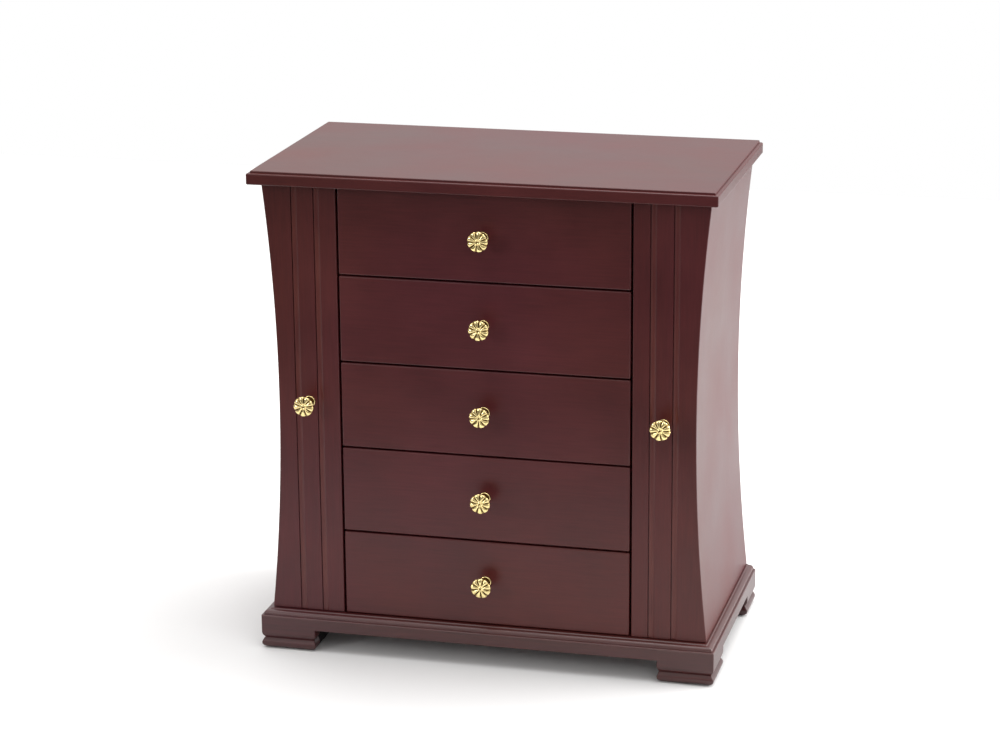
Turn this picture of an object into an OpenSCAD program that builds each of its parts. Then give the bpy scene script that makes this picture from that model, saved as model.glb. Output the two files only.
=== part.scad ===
// Jewellery chest: five drawers between two waisted side doors, under a moulded top board.
// Millimetres. +X to the right, the front faces -Y, +Z up, standing on Z = 0.

/* [Case] */
// Width of the top board
board_w = 330; // [322:1:350]
// Depth of the top board, from its moulded front edge to its flat rear edge
board_d = 181.8; // [176:0.2:190]
// Thickness of the top board
board_t = 9.4; // [8.4:0.1:11]
// Height of the top board's underside above the floor
board_z = 343.3; // [341:0.1:350]
// How far the top board stands out in front of the drawer fronts
board_lip = 13.1; // [11:0.1:15]
// Width across the two sides at the waist, half way up
waist_w = 299.6; // [298:0.2:304]
// How far each side flares out between the waist and its two ends
flare = 8.9; // [6:0.1:10]
// Thickness of the back panel
back_t = 6; // [5:0.5:6]
// Thickness of each partition between the drawers and a side compartment
partition_t = 6; // [6:0.5:7]
// Thickness of the boards that the drawers run on
runner_t = 3; // [2.4:0.1:3]

/* [Plinth] */
// Width of the plinth
plinth_w = 330.8; // [326:0.2:340]
// How far the plinth stands out in front of the drawer fronts
plinth_lip = 8.5; // [7.5:0.1:10]
// Height of the floor board's underside, where the bracket feet end
plinth_z = 24.4; // [22:0.1:26]
// Thickness of the floor board
floor_t = 4.9; // [4.5:0.1:5.5]
// Height of the aprons between the feet
apron_h = 8; // [6:0.1:10]
// Thickness of the aprons
apron_t = 10; // [8:0.5:12]
// Width of each foot along the front
foot_w = 40.3; // [36:0.1:46]
// Depth of each front foot along the side
foot_d = 39.8; // [36:0.1:46]
// Depth of each rear foot along the side
rear_foot_d = 36.3; // [32:0.1:42]
// Thickness of the felt pads under the feet
pad_t = 0.8; // [0.5:0.1:1.5]

/* [Drawers] */
// Height from one drawer front to the next
drawer_pitch = 62.5; // [62:0.1:62.5]
// Gap between one drawer front and the next
drawer_gap = 1.3; // [1:0.1:1.8]
// Gap between the floor board and the lowest drawer front
bottom_gap = 0.6; // [0.4:0.1:1]
// Width of the drawer fronts
front_w = 207; // [206:0.2:207.4]
// Thickness of the drawer fronts and of the door stiles
front_t = 12; // [11:0.5:13]
// Height of the drawer sides
box_h = 48; // [40:1:50]
// Thickness of the drawer sides and backs
box_t = 5; // [4:0.5:6]
// Thickness of the drawer bottoms
bottom_t = 3; // [2:0.5:4]
// Thickness of the velvet pads
velvet_t = 2; // [1:0.5:3]
// Number of ring rolls in the top drawer
rolls = 6; // [3:1:6]
// Diameter of a ring roll
roll_d = 12; // [10:0.5:12]

/* [Doors] */
// Distance of a stile's inner edge from the middle of the chest
stile_x = 105; // [104.6:0.1:106]
// Distance of the inner flute from the middle of the chest
flute_in_x = 119; // [118:0.1:120]
// Distance of the outer flute from the middle of the chest
flute_out_x = 135.2; // [134:0.1:136]
// Width of a flute
flute_w = 4.5; // [3:0.1:5]
// Depth of a flute
flute_depth = 1.3; // [0.8:0.1:1.6]
// Thickness of the waisted side panels
side_t = 7; // [6:0.5:7]
// Thickness of the rails at the top and bottom of a door
rail_t = 8; // [7:0.5:10]
// Gap above and below a door
door_gap = 0.6; // [0.4:0.1:1]
// Distance of the hinge line from the middle of the chest
hinge_x = 145.8; // [145.6:0.1:146]
// Distance of the hinge line in front of the rear face
hinge_back = 6.4; // [6.2:0.1:6.4]
// Diameter of the hinge pins
pin_d = 3; // [2:0.5:3]
// Number of necklace hooks in each door
hooks = 6; // [4:1:7]
// Height of the fabric pocket above the lower rail
pocket_h = 74; // [50:1:90]

/* [Knobs] */
// Diameter of the knob heads
knob_d = 14.4; // [12:0.2:16]
// How far the knobs stand out from the drawer fronts
knob_reach = 16; // [14.5:0.5:18]
// Diameter of the base flange of a knob
flange_d = 8.4; // [8:0.2:12]
// How far the drawer knobs sit above the middle of their drawer front
knob_rise = 1; // [0:0.5:3]

/* [Hidden] */
$fn = 64;

// Depth: the knob tips and the flat rear face lie equally far from Y = 0.
case_d = board_d - board_lip;
rear_y = (case_d + knob_reach) / 2;
face_y = rear_y - case_d;
board_y = face_y - board_lip;
plinth_y = face_y - plinth_lip;
behind_front_y = face_y + front_t;

// Height: floor board, case and door
floor_z = plinth_z + floor_t;
mid_z = (floor_z + board_z) / 2;
half_h = (board_z - floor_z) / 2;
door_bottom_z = floor_z + door_gap;
door_top_z = board_z - door_gap;
apron_z = plinth_z - apron_h;

// The waisted side is one arc: its radius from its chord and its rise.
bow_r = (half_h * half_h + flare * flare) / (2 * flare);
bow_x = waist_w / 2 + bow_r;
bow_fn = 1440;
widest_x = waist_w / 2 + flare;

// Case boards
partition_x = front_w / 2 + 0.9;
partition_y = behind_front_y + 0.6;
back_y = rear_y - back_t;
post_x = hinge_x - 6;
post_d = 2 * hinge_back + 0.1;
post_round = 5;
back_w = 2 * (post_x - 1.1);
cleat = 8;
cleat_front_y = behind_front_y + 20;
cleat_rear_y = back_y - 16;

// Drawers are numbered from the top down.
drawer_count = 5;
front_h = drawer_pitch - drawer_gap;
box_x = front_w / 2 + 0.1;
box_rear_y = back_y - 2.5;
box_lift = 1.25;
bottom_lift = 2;
pad_lift = box_lift + bottom_lift + bottom_t;
roll_pitch = roll_d + 0.6;
cell_wall_t = 3;
cell_wall_h = 24;

// Door fittings
rail_x = partition_x + partition_t + 2;
rail_rear_y = rear_y - post_d;
lining_t = 1.2;
knob_x = (flute_in_x + flute_out_x) / 2;
pocket_x = rail_x + 4.6;
pocket_t = 1.2;
pocket_front_y = behind_front_y + 10;
pocket_rear_y = rail_rear_y - 10;
hook_r = 4;
hook_wire_r = 0.9;
hook_x = rail_x + 22;
hook_in = 4;

// Radius that the face of a foot is rounded under with
foot_under_r = 5.5;

// Fasteners and fittings
bolt_r = 2;
bolt_head_r = 3.8;
bolt_head_h = 2.4;
bolt_depth = 6;
screw_r = 1.4;
screw_head_r = 2.8;
screw_head_h = 1.6;
screw_inset = 22;
pin_in = 5.6;
pin_out = 6.4;
pin_clear = 0.05;
magnet_r = 2.2;
magnet_l = 4;
plate_t = 0.8;

lacquer = [0.30, 0.17, 0.17];
bare_wood = [0.62, 0.45, 0.30];
velvet = [0.20, 0.05, 0.08];
gold = [0.85, 0.70, 0.35];
steel = [0.70, 0.70, 0.72];

// ---------- helpers ----------

// Bottom edge of drawer front k, 1 at the top
function drawer_z(k) = floor_z + bottom_gap + (drawer_count - k) * drawer_pitch;

// Height of drawer k's knob
function knob_z(k) = drawer_z(k) + front_h / 2 + knob_rise;

// Place of necklace hook i along its door, 0 at the front
function hook_y(i) =
    let (first = behind_front_y + 16, last = rail_rear_y - 16) first + (last - first) * i / (hooks - 1);

// Points along an arc, as [inset, height]
function arc(cx, cz, r, from, to, steps = 6) =
    [for (i = [0:steps]) let (a = from + (to - from) * i / steps) [cx + r * cos(a), cz + r * sin(a)]];

// A list the other way round
function reversed(list) = [for (i = [len(list) - 1:-1:0]) list[i]];

// Extrudes an outline drawn in X and Z from one depth to another.
module along_y(y0, y1) {
    translate([0, y1, 0]) rotate([90, 0, 0]) linear_extrude(y1 - y0) children();
}

// Extrudes an outline drawn in Y and Z across the width.
module along_x(x0, x1) {
    translate([x0, 0, 0]) rotate([90, 0, 90]) linear_extrude(x1 - x0) children();
}

// A box from its lowest corner to its highest.
module block(low, high) {
    translate(low) cube(high - low);
}

// A round bar that runs from front to back.
module bar_y(x, y0, y1, z, r) {
    translate([x, y1, z]) rotate([90, 0, 0]) cylinder(r = r, h = y1 - y0);
}

// The same piece on both sides of the chest
module both_sides() {
    children();
    mirror([1, 0, 0]) children();
}

// A board whose front and side edges carry a moulding; the rear edge is cut off square.
module moulded_board(w, y0, y1, edge) {
    low_z = edge[0][1];
    high_z = edge[len(edge) - 1][1];
    intersection() {
        along_y(y0, y1)
            polygon(concat([for (p = edge) [w / 2 - p[0], p[1]]],
                           [for (p = reversed(edge)) [p[0] - w / 2, p[1]]]));
        along_x(-w / 2, w / 2)
            polygon(concat([for (p = edge) [y0 + p[0], p[1]]], [[y1, high_z], [y1, low_z]]));
    }
}

// The circle that the waisted side follows, moved in from the outer face
module bow(inset) {
    translate([bow_x - inset, mid_z]) circle(r = bow_r, $fn = bow_fn);
}

// Outline from x0 out to the waisted face less an inset, between two heights
module waisted(x0, inset, z0, z1) {
    difference() {
        translate([x0, z0]) square([widest_x + 1 - inset - x0, z1 - z0]);
        bow(inset);
    }
}

// Outline of a skin of thickness t that follows the waisted face
module waisted_skin(inset, t, z0, z1) {
    difference() {
        intersection() {
            translate([waist_w / 2 - inset - t - 1, z0]) square([flare + t + 2, z1 - z0]);
            bow(inset + t);
        }
        bow(inset);
    }
}

// Knob with a base flange, a neck and a shallow domed head, drilled for its bolt.
module knob(x, z) {
    r = knob_d / 2;
    head_t = 5;
    outline = concat(
        [[bolt_r + 0.05, 0], [flange_d / 2, 0], [flange_d / 2, 0.9]],
        [[flange_d / 2 - 0.7, 1.6], [3.2, 3.2], [2.9, 6]],
        [[3.8, knob_reach - head_t - 1.2], [r - 1, knob_reach - head_t], [r, knob_reach - head_t + 1.4]],
        [[r - 0.8, knob_reach - head_t + 3], [r * 0.55, knob_reach - 0.7], [2, knob_reach], [0, knob_reach]],
        [[0, bolt_depth + 0.3], [bolt_r + 0.05, bolt_depth + 0.3]]
    );
    translate([x, face_y, z]) rotate([90, 0, 0]) rotate_extrude() polygon(outline);
}

// Bolt that holds a knob, with its pan head inside.
module knob_bolt(x, z) {
    bar_y(x, face_y - bolt_depth, behind_front_y + 0.1, z, bolt_r);
    bar_y(x, behind_front_y, behind_front_y + bolt_head_h, z, bolt_head_r);
}

// Clearance hole for a knob bolt
module bolt_hole(x, z) {
    bar_y(x, face_y - 1, behind_front_y + 1, z, bolt_r + 0.1);
}

// Countersunk wood screw, head down
module wood_screw(x, y, z, l) {
    translate([x, y, z]) cylinder(r1 = screw_head_r, r2 = screw_r, h = screw_head_h);
    translate([x, y, z + screw_head_h / 2]) cylinder(r = screw_r, h = l - screw_head_h / 2);
}

// ---------- case ----------

// Edge of the top board: upright face, ledge and a small ovolo up to the flat top
board_edge = concat(
    arc(0.8, board_z + 0.8, 0.8, 270, 180, 4),
    arc(0.7, board_z + 6.2, 0.7, 180, 90, 4),
    [[1.1, board_z + 6.9]],
    arc(2.9, board_z + board_t - 1.8, 1.8, 180, 90, 6)
);

// Edge of the floor board: fine bead, ovolo and a flat up to the case
floor_edge = concat(
    [[0, plinth_z]],
    arc(0.6, plinth_z + 0.4, 0.6, 180, 90, 4),
    [[1.5, plinth_z + 1]],
    arc(4.4, plinth_z + 1.3, 2.9, 180, 90, 6),
    [[5.4, plinth_z + 4.2], [5.9, floor_z]]
);

// Outer face of a foot: upright, rounded under to a neck, then a rounded bead on the floor
foot_edge = concat(
    arc(3.4, pad_t + 3.4, 3.4, 255, 150, 8),
    [[1.5, pad_t + 6.8], [2.1, pad_t + 7.3]],
    arc(foot_under_r, pad_t + 11.7, foot_under_r, 230, 180, 6),
    [[0, plinth_z]]
);

module top_board() {
    color(lacquer) difference() {
        moulded_board(board_w, board_y, rear_y, board_edge);
        both_sides() {
            translate([hinge_x, rear_y - hinge_back, board_z - 1]) cylinder(r = pin_d / 2, h = pin_in + 1);
            for (y = [cleat_front_y + screw_inset, cleat_rear_y - screw_inset])
                translate([partition_x - cleat / 2, y, board_z - 1]) cylinder(r = screw_r, h = 6);
        }
    }
}

module floor_board() {
    color(lacquer) difference() {
        moulded_board(plinth_w, plinth_y, rear_y, floor_edge);
        both_sides() {
            translate([hinge_x, rear_y - hinge_back, floor_z - 4]) cylinder(r = pin_d / 2, h = 5);
            for (y = [partition_y + screw_inset, back_y - screw_inset])
                floor_screw_hole(partition_x + partition_t / 2, y);
        }
    }
}

module floor_screw_hole(x, y) {
    translate([x, y, plinth_z - 1]) cylinder(r = screw_r, h = floor_t + 2);
    translate([x, y, plinth_z]) cylinder(r1 = screw_head_r, r2 = screw_r, h = screw_head_h);
    translate([x, y, plinth_z - 1]) cylinder(r = screw_head_r, h = 1);
}

module aprons() {
    x = plinth_w / 2;
    color(lacquer) {
        block([foot_w - x, plinth_y, apron_z], [x - foot_w, plinth_y + apron_t, plinth_z]);
        block([foot_w - x, rear_y - apron_t, apron_z], [x - foot_w, rear_y, plinth_z]);
        both_sides()
            block([x - apron_t, plinth_y + foot_d, apron_z], [x, rear_y - rear_foot_d, plinth_z]);
    }
}

module feet() {
    x = plinth_w / 2;
    side = concat([for (p = foot_edge) [x - p[0], p[1]]],
                  [[x - foot_w, plinth_z], [x - foot_w, pad_t]]);
    front = concat([for (p = foot_edge) [plinth_y + p[0], p[1]]],
                   [[plinth_y + foot_d, plinth_z], [plinth_y + foot_d, pad_t]]);
    color(lacquer) both_sides() {
        intersection() {
            along_y(plinth_y, plinth_y + foot_d) polygon(side);
            along_x(x - foot_w, x) polygon(front);
        }
        along_y(rear_y - rear_foot_d, rear_y) polygon(side);
    }
}

module felt_pads() {
    x = plinth_w / 2 - foot_w / 2;
    color([0.12, 0.12, 0.12]) both_sides()
        for (y = [plinth_y + foot_d / 2, rear_y - rear_foot_d / 2])
            translate([x, y, 0]) cylinder(r = 13, h = pad_t);
}

module back_panel() {
    color(lacquer) block([-back_w / 2, back_y, floor_z], [back_w / 2, rear_y, board_z]);
}

module partitions() {
    x = partition_x;
    mid_x = x + partition_t / 2;
    color(bare_wood) both_sides() difference() {
        block([x, partition_y, floor_z], [x + partition_t, back_y, board_z]);
        bar_y(mid_x, partition_y - 1, partition_y + magnet_l, mid_z, magnet_r);
        for (y = [partition_y + screw_inset, back_y - screw_inset])
            translate([mid_x, y, floor_z - 1]) cylinder(r = screw_r, h = 13);
    }
}

module runner_boards() {
    color(bare_wood) {
        block([-partition_x, partition_y, floor_z], [partition_x, back_y, floor_z + bottom_gap + 0.85]);
        for (k = [1:drawer_count - 1]) {
            z = drawer_z(k) + 0.85;
            block([-partition_x, partition_y, z - runner_t], [partition_x, back_y, z]);
        }
    }
}

module top_cleats() {
    color(bare_wood) both_sides() difference() {
        block([partition_x - cleat, cleat_front_y, board_z - cleat], [partition_x, cleat_rear_y, board_z]);
        for (y = [cleat_front_y + screw_inset, cleat_rear_y - screw_inset]) {
            translate([partition_x - cleat / 2, y, board_z - cleat - 1]) cylinder(r = screw_r, h = cleat + 2);
            translate([partition_x - cleat / 2, y, board_z - cleat])
                cylinder(r1 = screw_head_r, r2 = screw_r, h = screw_head_h);
        }
    }
}

module case_screws() {
    color(steel) both_sides() {
        for (y = [partition_y + screw_inset, back_y - screw_inset])
            wood_screw(partition_x + partition_t / 2, y, plinth_z, 16);
        for (y = [cleat_front_y + screw_inset, cleat_rear_y - screw_inset])
            wood_screw(partition_x - cleat / 2, y, board_z - cleat, 12.5);
    }
}

module hinge_pins() {
    color(gold) both_sides() {
        translate([hinge_x, rear_y - hinge_back, board_z - pin_out]) cylinder(d = pin_d, h = pin_out + pin_in);
        translate([hinge_x, rear_y - hinge_back, floor_z - 4]) cylinder(d = pin_d, h = 4 + pin_out);
    }
}

module catch_magnets() {
    color(steel) both_sides()
        bar_y(partition_x + partition_t / 2, partition_y, partition_y + magnet_l, mid_z, magnet_r);
}

// ---------- drawers ----------

module drawer_front(k) {
    z = drawer_z(k);
    color(lacquer) difference() {
        block([-front_w / 2, face_y, z], [front_w / 2, behind_front_y, z + front_h]);
        bolt_hole(0, knob_z(k));
    }
}

module drawer_box(k) {
    z = drawer_z(k) + box_lift;
    inner_x = box_x - box_t;
    color(bare_wood) {
        both_sides() block([inner_x, behind_front_y, z], [box_x, box_rear_y, z + box_h]);
        block([-inner_x, box_rear_y - box_t, z], [inner_x, box_rear_y, z + box_h]);
    }
}

module drawer_bottom(k) {
    z = drawer_z(k) + box_lift + bottom_lift;
    x = box_x - box_t;
    color(bare_wood) block([-x, behind_front_y, z], [x, box_rear_y - box_t, z + bottom_t]);
}

module lining_pad(k) {
    z = drawer_z(k) + pad_lift;
    x = box_x - box_t - 0.5;
    block([-x, behind_front_y + 0.5, z], [x, box_rear_y - box_t - 0.5, z + velvet_t]);
}

// Velvet pad; ring rolls stand on it in the top drawer and two low walls in the second.
module drawer_lining(k) {
    z = drawer_z(k) + pad_lift + velvet_t;
    x = box_x - box_t - 0.5;
    color(velvet) {
        lining_pad(k);
        if (k == 1)
            for (i = [0:rolls - 1])
                translate([-x, behind_front_y + 5 + roll_pitch * (i + 0.5), z + roll_d / 2 - 0.5])
                    rotate([0, 90, 0]) cylinder(d = roll_d, h = 2 * x);
        if (k == 2)
            both_sides()
                block([x / 3, behind_front_y + 0.5, z - 0.5],
                      [x / 3 + cell_wall_t, box_rear_y - box_t - 0.5, z + cell_wall_h]);
    }
}

module drawer_knob(k) {
    color(gold) knob(0, knob_z(k));
}

module drawer_screw(k) {
    color(steel) knob_bolt(0, knob_z(k));
}

// ---------- doors, drawn as the right one and mirrored for the left ----------

// Puts a right-hand piece on the side asked for
module on_side(side) {
    if (side == "left") mirror([1, 0, 0]) children();
    else children();
}

module door_stile(side) {
    r = (flute_depth * flute_depth + flute_w * flute_w / 4) / (2 * flute_depth);
    color(lacquer) on_side(side) difference() {
        along_y(face_y, behind_front_y) waisted(stile_x, 0, door_bottom_z, door_top_z);
        for (x = [flute_in_x, flute_out_x])
            translate([x, face_y + flute_depth - r, door_bottom_z - 1])
                cylinder(r = r, h = door_top_z - door_bottom_z + 2);
        bolt_hole(knob_x, mid_z);
        plate_slot();
    }
}

module plate_slot() {
    x = partition_x + partition_t / 2;
    block([x - 2, behind_front_y - plate_t, mid_z - 6], [x + 2, behind_front_y + 1, mid_z + 6]);
}

module door_side(side) {
    color(lacquer) on_side(side)
        along_y(behind_front_y, rear_y) waisted_skin(0, side_t, door_bottom_z, door_top_z);
}

// Two rails and the rear post that the hinge pins turn in
module door_frame(side) {
    color(lacquer) on_side(side) {
        difference() {
            along_y(behind_front_y, rail_rear_y) waisted(rail_x, side_t, door_top_z - rail_t, door_top_z);
            for (i = [0:hooks - 1])
                translate([hook_x, hook_y(i), door_top_z - rail_t - 1])
                    cylinder(r = hook_wire_r + pin_clear, h = hook_in + 1.2);
        }
        along_y(behind_front_y, rail_rear_y) waisted(rail_x, side_t, door_bottom_z, door_bottom_z + rail_t);
        difference() {
            intersection() {
                along_y(rail_rear_y, rear_y) waisted(post_x, side_t, door_bottom_z, door_top_z);
                rounded_post();
            }
            hinge_bore(door_top_z - pin_out - 0.6);
            hinge_bore(door_bottom_z - 1);
        }
    }
}

// The post's plan: its rear inner corner is rounded to swing clear of the back panel.
module rounded_post() {
    h = door_top_z - door_bottom_z;
    translate([0, 0, door_bottom_z]) linear_extrude(h) {
        translate([post_x, rail_rear_y]) square([30, post_d - post_round]);
        translate([post_x + post_round, rail_rear_y]) square([30 - post_round, post_d]);
        translate([post_x + post_round, rear_y - post_round]) circle(r = post_round);
    }
}

module hinge_bore(z) {
    translate([hinge_x, rear_y - hinge_back, z]) cylinder(r = pin_d / 2 + pin_clear, h = pin_out + 1.6);
}

module door_lining(side) {
    z0 = door_bottom_z + rail_t + 0.5;
    z1 = door_top_z - rail_t - 0.5;
    color(velvet) on_side(side)
        along_y(behind_front_y + 1, rail_rear_y - 0.5) waisted_skin(side_t, lining_t, z0, z1);
}

// One open hook under the top rail
module hook(y) {
    z = door_top_z - rail_t;
    drop = 8;
    translate([hook_x, y, z - drop]) cylinder(r = hook_wire_r, h = drop + hook_in);
    translate([hook_x - hook_r, y, z - drop]) rotate([-90, 0, 0]) rotate_extrude(angle = 180)
        translate([hook_r, 0]) circle(r = hook_wire_r, $fn = 24);
    translate([hook_x - 2 * hook_r, y, z - drop]) cylinder(r = hook_wire_r, h = 3);
    translate([hook_x - 2 * hook_r, y, z - drop + 3.4]) sphere(r = 1.3, $fn = 24);
    translate([hook_x, y, z - 1]) cylinder(r = 2.6, h = 1);
}

module door_hooks(side) {
    color(gold) on_side(side)
        for (i = [0:hooks - 1]) hook(hook_y(i));
}

// Fabric pocket on the lower rail, open at the top, closed behind by the lining
module door_pocket(side) {
    z0 = door_bottom_z + rail_t;
    z1 = z0 + pocket_h;
    color(velvet) on_side(side) {
        block([pocket_x, pocket_front_y, z0], [pocket_x + pocket_t, pocket_rear_y, z1]);
        for (y = [pocket_front_y, pocket_rear_y - pocket_t])
            along_y(y, y + pocket_t) waisted(pocket_x, side_t + lining_t + 0.1, z0 + 0.5, z1);
    }
}

module door_knob(side) {
    color(gold) on_side(side) knob(knob_x, mid_z);
}

module door_screw(side) {
    color(steel) on_side(side) knob_bolt(knob_x, mid_z);
}

module door_plate(side) {
    x = partition_x + partition_t / 2;
    color(steel) on_side(side)
        block([x - 2, behind_front_y - plate_t, mid_z - 6], [x + 2, behind_front_y, mid_z + 6]);
}

top_board();
floor_board();
aprons();
feet();
felt_pads();
back_panel();
partitions();
runner_boards();
top_cleats();
case_screws();
hinge_pins();
catch_magnets();

drawer_front(1);  // drawer_1_front
drawer_box(1);  // drawer_1_box
drawer_bottom(1);  // drawer_1_bottom
drawer_lining(1);  // drawer_1_lining
drawer_knob(1);  // drawer_1_knob
drawer_screw(1);  // drawer_1_screw
drawer_front(2);  // drawer_2_front
drawer_box(2);  // drawer_2_box
drawer_bottom(2);  // drawer_2_bottom
drawer_lining(2);  // drawer_2_lining
drawer_knob(2);  // drawer_2_knob
drawer_screw(2);  // drawer_2_screw
drawer_front(3);  // drawer_3_front
drawer_box(3);  // drawer_3_box
drawer_bottom(3);  // drawer_3_bottom
drawer_lining(3);  // drawer_3_lining
drawer_knob(3);  // drawer_3_knob
drawer_screw(3);  // drawer_3_screw
drawer_front(4);  // drawer_4_front
drawer_box(4);  // drawer_4_box
drawer_bottom(4);  // drawer_4_bottom
drawer_lining(4);  // drawer_4_lining
drawer_knob(4);  // drawer_4_knob
drawer_screw(4);  // drawer_4_screw
drawer_front(5);  // drawer_5_front
drawer_box(5);  // drawer_5_box
drawer_bottom(5);  // drawer_5_bottom
drawer_lining(5);  // drawer_5_lining
drawer_knob(5);  // drawer_5_knob
drawer_screw(5);  // drawer_5_screw

door_stile("left");  // left_door_stile
door_side("left");  // left_door_side
door_frame("left");  // left_door_frame
door_lining("left");  // left_door_lining
door_hooks("left");  // left_door_hooks
door_pocket("left");  // left_door_pocket
door_knob("left");  // left_door_knob
door_screw("left");  // left_door_screw
door_plate("left");  // left_door_plate
door_stile("right");  // right_door_stile
door_side("right");  // right_door_side
door_frame("right");  // right_door_frame
door_lining("right");  // right_door_lining
door_hooks("right");  // right_door_hooks
door_pocket("right");  // right_door_pocket
door_knob("right");  // right_door_knob
door_screw("right");  // right_door_screw
door_plate("right");  // right_door_plate
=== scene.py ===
"""Jewellery chest: five drawers between two waisted side doors, dressed round its CAD frame."""
import math

import bmesh
import bpy
from mathutils import Matrix, Vector


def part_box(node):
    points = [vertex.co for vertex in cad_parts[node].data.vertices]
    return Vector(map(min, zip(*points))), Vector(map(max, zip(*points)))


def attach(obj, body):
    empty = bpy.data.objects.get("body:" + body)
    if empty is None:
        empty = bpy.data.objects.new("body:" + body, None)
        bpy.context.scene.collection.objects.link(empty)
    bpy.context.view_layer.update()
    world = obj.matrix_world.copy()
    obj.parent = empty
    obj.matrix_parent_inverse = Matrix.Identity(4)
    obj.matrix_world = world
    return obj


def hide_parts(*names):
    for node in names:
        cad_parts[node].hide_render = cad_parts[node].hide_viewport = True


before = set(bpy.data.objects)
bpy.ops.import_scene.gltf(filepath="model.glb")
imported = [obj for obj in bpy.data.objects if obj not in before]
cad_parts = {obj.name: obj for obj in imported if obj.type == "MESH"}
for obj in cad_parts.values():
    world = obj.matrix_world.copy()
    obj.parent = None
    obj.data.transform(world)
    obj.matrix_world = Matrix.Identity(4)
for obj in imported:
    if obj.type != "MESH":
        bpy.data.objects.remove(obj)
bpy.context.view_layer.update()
MM = 0.001

# ---------- Camera ----------
# A long lens, a little above the chest and to the right of its middle.

azimuth = math.radians(14.415)
elevation = math.radians(16.14)
roll = math.radians(-0.422)
distance = 2.078
aim = Vector((-0.0084, 0.00145, 0.1912))

towards = Vector((math.sin(azimuth) * math.cos(elevation),
                  -math.cos(azimuth) * math.cos(elevation),
                  math.sin(elevation)))
level = Vector((math.cos(azimuth), math.sin(azimuth), 0))
upright = towards.cross(level)
across = level * math.cos(roll) + upright * math.sin(roll)
above = upright * math.cos(roll) - level * math.sin(roll)

camera = bpy.data.objects.new("camera", bpy.data.cameras.new("camera"))
camera.data.sensor_width = 36
camera.data.lens = 103.88
camera.matrix_world = (Matrix.Translation(aim + towards * distance)
                       @ Matrix((across, above, towards)).transposed().to_4x4())
bpy.context.scene.collection.objects.link(camera)
bpy.context.scene.camera = camera

# ---------- Studio ----------
# A white table in a room that is darker in front, with soft lights overhead, at the right, at
# the front left and beside the camera. The table ends half a metre in front, so that the fronts
# mirror it low down only.


class Wire:
    """One output in a node tree: sums on it add Math nodes, and node() adds any other node."""

    def __init__(self, tree, socket=None):
        self.tree = tree
        self.socket = socket

    def node(self, kind, values=None, out=0, stops=None, **settings):
        made = self.tree.nodes.new(kind)
        for name, setting in settings.items():
            setattr(made, name, setting)
        for place, (where, shade) in enumerate(stops or []):
            ramp = made.color_ramp.elements
            stop = ramp[place] if place < len(ramp) else ramp.new(where)
            stop.position = where
            stop.color = (*shade, 1)
        for name, value in (values or {}).items():
            if isinstance(value, Wire):
                self.tree.links.new(value.socket, made.inputs[name])
            else:
                made.inputs[name].default_value = value
        return Wire(self.tree, made.outputs[out])

    def math(self, operation, *values):
        return self.node("ShaderNodeMath", dict(enumerate(values)), operation=operation)

    def __add__(self, other):
        return self.math("ADD", self, other)

    __radd__ = __add__

    def __sub__(self, other):
        return self.math("SUBTRACT", self, other)

    def __rsub__(self, other):
        return self.math("SUBTRACT", other, self)

    def __mul__(self, other):
        return self.math("MULTIPLY", self, other)

    __rmul__ = __mul__

    def __truediv__(self, other):
        return self.math("DIVIDE", self, other)

    def __rtruediv__(self, other):
        return self.math("DIVIDE", other, self)

    def parts(self):
        split = self.tree.nodes.new("ShaderNodeSeparateXYZ")
        self.tree.links.new(self.socket, split.inputs[0])
        return [Wire(self.tree, output) for output in split.outputs]


world = bpy.data.worlds.new("studio")
bpy.context.scene.world = world
world.use_nodes = True
world.node_tree.nodes.clear()
room = Wire(world.node_tree)
room_x, room_y, room_z = room.node("ShaderNodeTexCoord", out="Generated").parts()
high_up = room.math("MAXIMUM", room_z, 0)
room_glow = (0.17 + 0.40 * room.math("MAXIMUM", room_y, 0) + 0.5 * room.math("MAXIMUM", room_x, 0)
             + high_up * (1.12 + 0.3 * room_y))
lit_room = room.node("ShaderNodeBackground", {"Color": (1, 0.985, 0.975, 1), "Strength": room_glow})
seen_room = room.node("ShaderNodeBackground", {"Color": (1, 1, 1, 1), "Strength": 1})
camera_ray = room.node("ShaderNodeLightPath", out="Is Camera Ray")
seen = room.node("ShaderNodeMixShader", {0: camera_ray, 1: lit_room, 2: seen_room})
room_end = world.node_tree.nodes.new("ShaderNodeOutputWorld")
world.node_tree.links.new(seen.socket, room_end.inputs["Surface"])
bpy.context.scene.view_settings.view_transform = "Standard"


def soft_light(name, place, target, size, power):
    lamp = bpy.data.lights.new(name, "AREA")
    lamp.shape = "SQUARE"
    lamp.size = size
    lamp.energy = power
    holder = bpy.data.objects.new(name, lamp)
    holder.location = place
    holder.rotation_euler = (Vector(target) - Vector(place)).to_track_quat("-Z", "Y").to_euler()
    holder.visible_camera = False
    bpy.context.scene.collection.objects.link(holder)


soft_light("overhead", (0.2, 0.1, 1.7), (0, 0, 0.2), 1.4, 23)
soft_light("at_the_right", (1.9, 0.5, 1.0), (0, 0, 0.2), 1.0, 36)
soft_light("beside_camera", (1.0, -1.9, 1.3), (0, 0, 0.2), 0.6, 3.5)
soft_light("front_left", (-1.4, -1.7, 0.85), (0, 0, 0.2), 0.6, 10.5)


def noise(place, scale, detail=2, **more):
    return place.node("ShaderNodeTexNoise", {"Vector": place, "Scale": scale, "Detail": detail, **more})


def mixed(share, first, second):
    """A colour between two, by a share from 0 to 1."""
    return share.node("ShaderNodeMix", {0: share, 6: first, 7: second}, out=2, data_type="RGBA")


def raised(height, strength, distance, **more):
    """Relief that follows height."""
    return height.node("ShaderNodeBump", {"Height": height, "Strength": strength,
                                          "Distance": distance, **more})


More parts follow.
